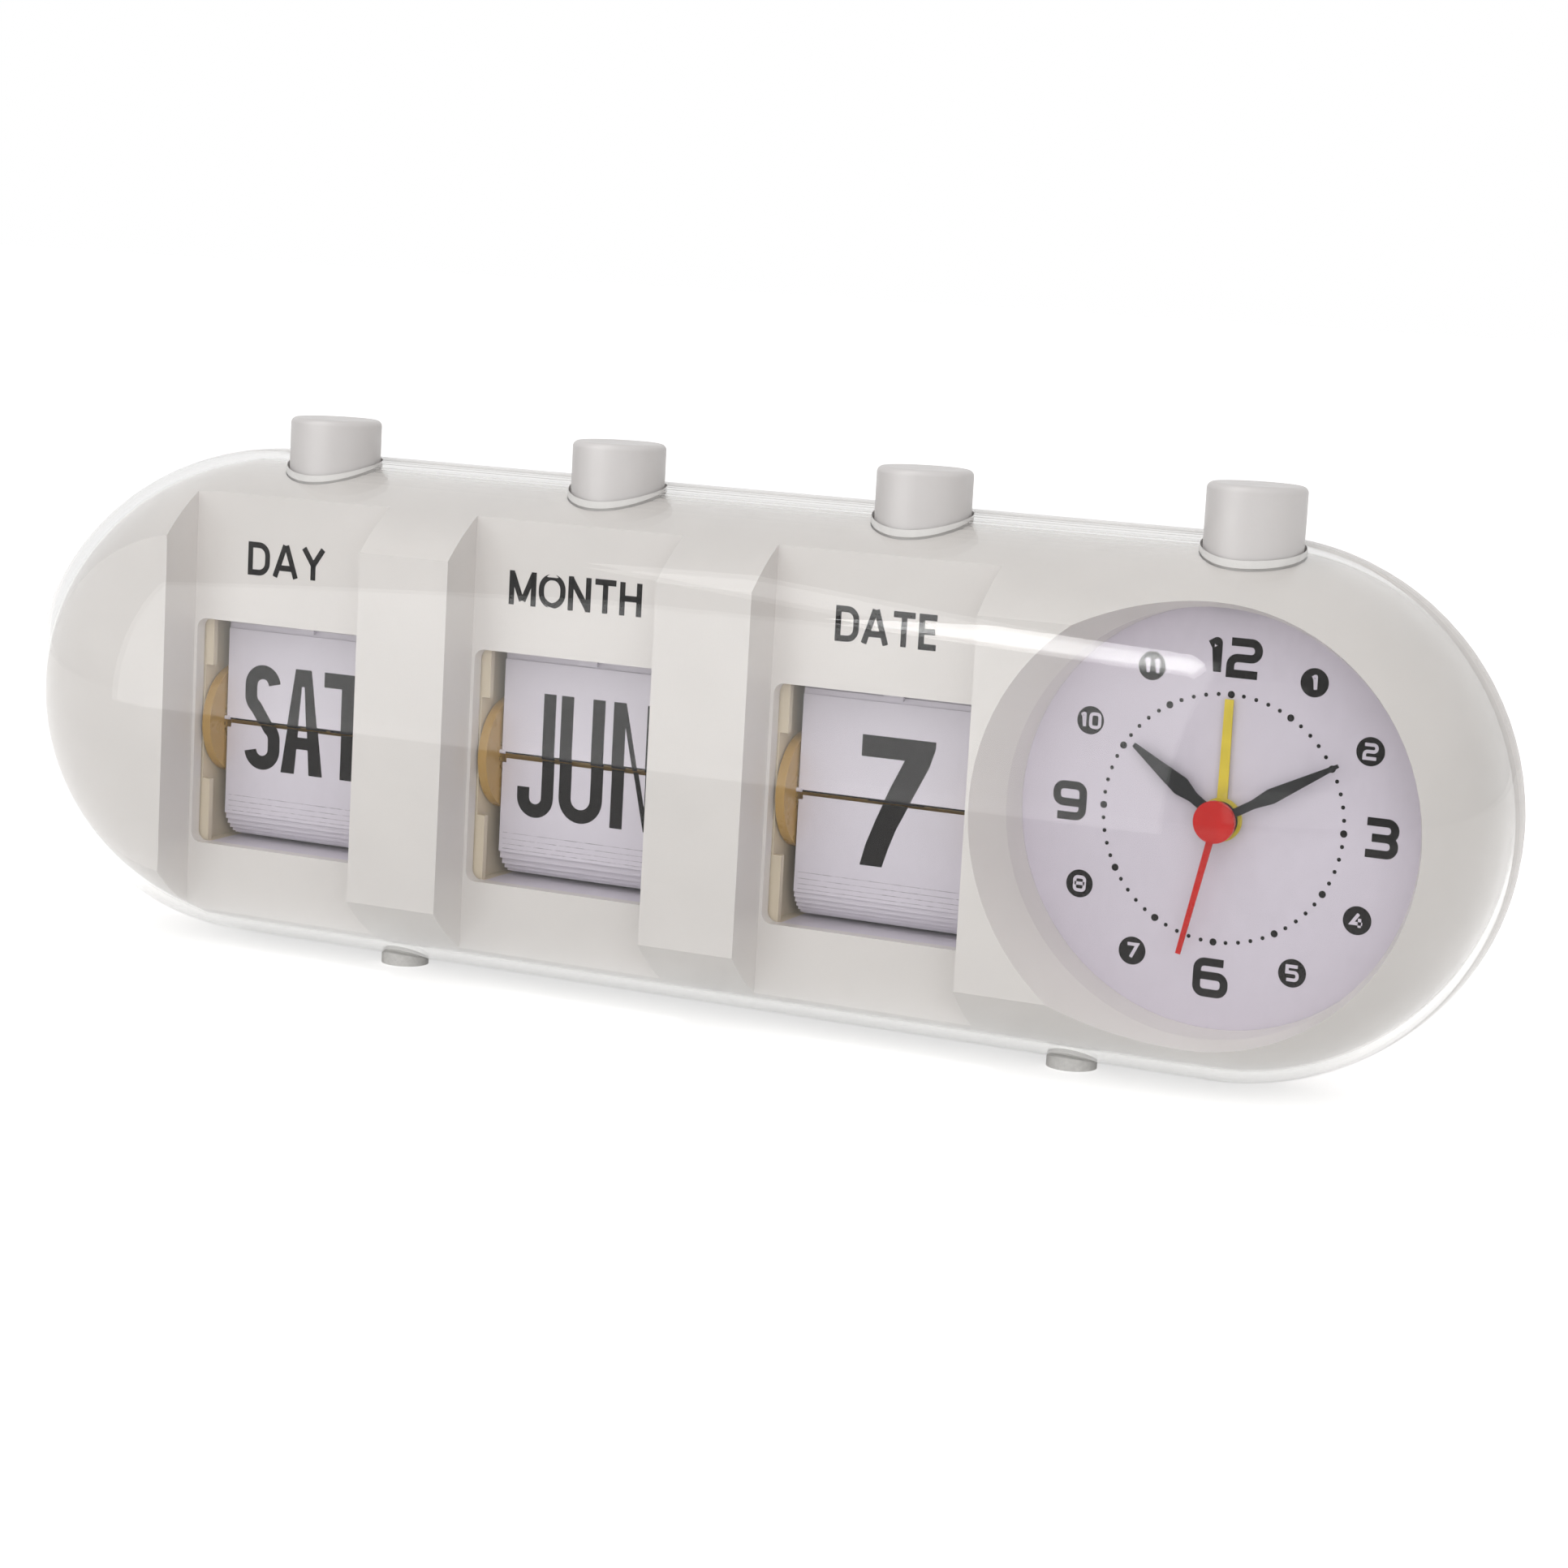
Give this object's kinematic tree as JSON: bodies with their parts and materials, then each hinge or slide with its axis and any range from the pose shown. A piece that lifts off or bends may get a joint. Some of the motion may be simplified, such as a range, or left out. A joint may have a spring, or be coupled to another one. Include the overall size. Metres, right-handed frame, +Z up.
{
  "type": "flip clock",
  "caption": "Desk flip calendar with an analogue alarm clock in a white capsule case with a clear front and push buttons on top.",
  "frame": {"origin": "bottom centre of the bounding box, on the surface that the feet stand on", "axes": "+X along the case from the day window to the dial, +Y from front to back, +Z up"},
  "size_m": [0.235, 0.0586, 0.0839],
  "materials": {
    "white_plastic": "satin",
    "clear_plastic": "polished",
    "foot_rubber": "matte",
    "cell_wrap": "satin",
    "steel": "satin",
    "brass": "satin",
    "board": "matte",
    "black_paint": "matte",
    "leaf_sheet": "satin",
    "yellow_paint": "satin",
    "red_paint": "satin",
    "grey_plastic": "matte",
    "cream_plastic": "satin",
    "amber_plastic": "satin"
  },
  "bodies": {
    "root": {"rear_housing": "white_plastic", "clear_cover": "clear_plastic", "fascia": "white_plastic", "feet": "foot_rubber", "case_screws": "steel", "battery_cell": "cell_wrap", "contact_spring": "steel", "contact_plate": "steel", "dial": "leaf_sheet", "movement_front": "white_plastic", "movement_back": "white_plastic", "circuit_board": "board", "motor_coil": "brass", "motor_stator": "steel", "buzzer": "brass", "snooze_spring": "steel", "day_frame": "cream_plastic", "day_axle": "steel", "day_rear_leaves": "leaf_sheet", "day_upper_leaves": "leaf_sheet", "day_lower_leaves": "leaf_sheet", "day_spring": "steel", "month_frame": "cream_plastic", "month_axle": "steel", "month_rear_leaves": "leaf_sheet", "month_upper_leaves": "leaf_sheet", "month_lower_leaves": "leaf_sheet", "month_spring": "steel", "date_frame": "cream_plastic", "date_axle": "steel", "date_rear_leaves": "leaf_sheet", "date_upper_leaves": "leaf_sheet", "date_lower_leaves": "leaf_sheet", "date_spring": "steel"},
    "door": {"battery_door": "white_plastic"},
    "minute": {"minute_wheel": "white_plastic", "minute_hand": "black_paint"},
    "hour": {"hour_wheel": "white_plastic", "hour_hand": "black_paint"},
    "second": {"second_wheel": "white_plastic", "second_hand": "red_paint"},
    "alarm": {"alarm_wheel": "white_plastic", "alarm_hand": "yellow_paint"},
    "rotor": {"motor_rotor": "black_paint"},
    "time_set": {"time_knob": "white_plastic"},
    "alarm_set": {"alarm_knob": "white_plastic"},
    "alarm_slide": {"alarm_switch": "grey_plastic"},
    "snooze": {"snooze_button": "white_plastic"},
    "day_press": {"day_button": "white_plastic"},
    "day_turn": {"day_drum": "amber_plastic", "day_ratchet": "amber_plastic"},
    "day_flip": {"day_flip_leaf": "leaf_sheet"},
    "month_press": {"month_button": "white_plastic"},
    "month_turn": {"month_drum": "amber_plastic", "month_ratchet": "amber_plastic"},
    "month_flip": {"month_flip_leaf": "leaf_sheet"},
    "date_press": {"date_button": "white_plastic"},
    "date_turn": {"date_drum": "amber_plastic", "date_ratchet": "amber_plastic"},
    "date_flip": {"date_flip_leaf": "leaf_sheet"}
  },
  "joints": [
    {"name": "door_slide", "type": "slide", "parent": "root", "child": "door", "axis": [0, 1, 0], "range_m": [0, 0.025]},
    {"name": "minute_turn", "type": "hinge", "parent": "root", "child": "minute", "pos_m": [0.0795, -0.00335, 0.0385], "axis": [0, 1, 0], "continuous": true},
    {"name": "hour_turn", "type": "hinge", "parent": "root", "child": "hour", "pos_m": [0.0795, -0.00335, 0.0385], "axis": [0, 1, 0], "continuous": true},
    {"name": "second_turn", "type": "hinge", "parent": "root", "child": "second", "pos_m": [0.0795, -0.00335, 0.0385], "axis": [0, 1, 0], "continuous": true},
    {"name": "alarm_turn", "type": "hinge", "parent": "root", "child": "alarm", "pos_m": [0.0795, -0.00335, 0.0385], "axis": [0, 1, 0], "continuous": true},
    {"name": "rotor_turn", "type": "hinge", "parent": "root", "child": "rotor", "pos_m": [0.0855, 0.00765, 0.0335], "axis": [0, 1, 0], "continuous": true},
    {"name": "time_set_turn", "type": "hinge", "parent": "root", "child": "time_set", "pos_m": [0.0795, 0.02765, 0.0385], "axis": [0, 1, 0], "continuous": true},
    {"name": "alarm_set_turn", "type": "hinge", "parent": "root", "child": "alarm_set", "pos_m": [0.0655, 0.02765, 0.0485], "axis": [0, 1, 0], "continuous": true},
    {"name": "alarm_switch_slide", "type": "slide", "parent": "root", "child": "alarm_slide", "axis": [1, 0, 0], "range_m": [0, 0.004]},
    {"name": "snooze_press", "type": "slide", "parent": "root", "child": "snooze", "axis": [0, 0, -1], "range_m": [0, 0.0018], "stiffness_N_per_m": 300, "deforming": ["snooze_spring"]},
    {"name": "day_press", "type": "slide", "parent": "root", "child": "day_press", "axis": [0, 0, -1], "range_m": [0, 0.0018], "stiffness_N_per_m": 300, "deforming": ["day_spring"]},
    {"name": "day_drum_turn", "type": "hinge", "parent": "root", "child": "day_turn", "pos_m": [-0.06675, 0.00085, 0.0349], "axis": [1, 0, 0], "range_deg": [0, 12.87]},
    {"name": "day_leaf_flip", "type": "hinge", "parent": "day_turn", "child": "day_flip", "pos_m": [-0.06675, -0.00332, 0.03537], "axis": [1, 0, 0], "range_deg": [0, 167.15]},
    {"name": "month_press", "type": "slide", "parent": "root", "child": "month_press", "axis": [0, 0, -1], "range_m": [0, 0.0018], "stiffness_N_per_m": 300, "deforming": ["month_spring"]},
    {"name": "month_drum_turn", "type": "hinge", "parent": "root", "child": "month_turn", "pos_m": [-0.018, 0.00085, 0.0349], "axis": [1, 0, 0], "range_deg": [0, 15.01]},
    {"name": "month_leaf_flip", "type": "hinge", "parent": "month_turn", "child": "month_flip", "pos_m": [-0.018, -0.00331, 0.03545], "axis": [1, 0, 0], "range_deg": [0, 165.01]},
    {"name": "date_press", "type": "slide", "parent": "root", "child": "date_press", "axis": [0, 0, -1], "range_m": [0, 0.0018], "stiffness_N_per_m": 300, "deforming": ["date_spring"]},
    {"name": "date_drum_turn", "type": "hinge", "parent": "root", "child": "date_turn", "pos_m": [0.03075, 0.00085, 0.0349], "axis": [1, 0, 0], "range_deg": [0, 11.62]},
    {"name": "date_leaf_flip", "type": "hinge", "parent": "date_turn", "child": "date_flip", "pos_m": [0.03075, -0.00333, 0.03533], "axis": [1, 0, 0], "range_deg": [0, 168.4]}
  ],
  "couplings": [
    {"joint": "hour_turn", "follows": "minute_turn", "ratio": 0.083333},
    {"joint": "time_set_turn", "follows": "minute_turn", "ratio": 1},
    {"joint": "rotor_turn", "follows": "second_turn", "ratio": -30},
    {"joint": "alarm_set_turn", "follows": "alarm_turn", "ratio": -2},
    {"joint": "day_drum_turn", "follows": "day_press", "rad_per_m": 124.67},
    {"joint": "day_leaf_flip", "follows": "day_press", "rad_per_m": 1620.7},
    {"joint": "month_drum_turn", "follows": "month_press", "rad_per_m": 145.44},
    {"joint": "month_leaf_flip", "follows": "month_press", "rad_per_m": 1599.9},
    {"joint": "date_drum_turn", "follows": "date_press", "rad_per_m": 112.6},
    {"joint": "date_leaf_flip", "follows": "date_press", "rad_per_m": 1632.7}
  ]
}
